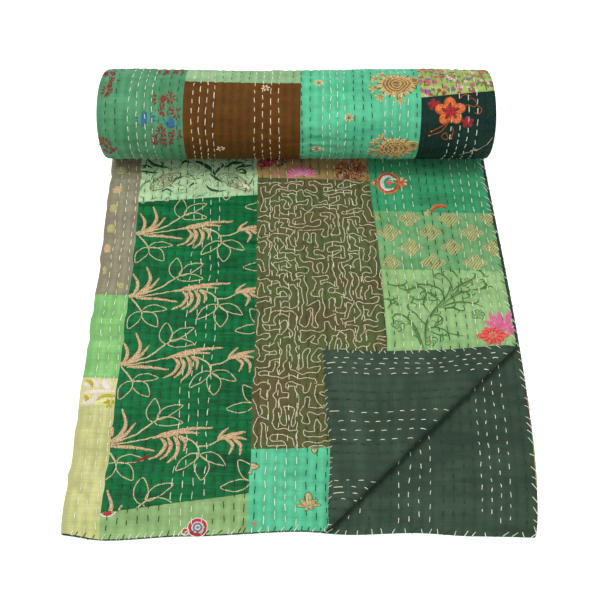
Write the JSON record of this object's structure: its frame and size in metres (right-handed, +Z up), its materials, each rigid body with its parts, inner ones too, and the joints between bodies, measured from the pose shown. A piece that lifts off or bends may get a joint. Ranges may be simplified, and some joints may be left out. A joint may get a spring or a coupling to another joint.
{
  "type": "kantha quilt, folded in half, rolled up from one end",
  "caption": "Patchwork kantha quilt in green saris, folded lengthwise, half rolled up, one corner turned back to a dark green backing.",
  "frame": {"origin": "on the resting surface, under the middle of the quilt's bounding box", "axes": "+Z up, +Y from the loose end's front edge to the roll, +X to the right of someone facing the roll"},
  "size_m": [0.659, 0.7849, 0.1546],
  "materials": {
    "patchwork": "matte",
    "backing": "matte",
    "thread": "matte"
  },
  "bodies": {
    "root": {"loose_end_face": "patchwork", "loose_end_backing": "backing", "rolled_end": "patchwork"}
  },
  "joints": []
}
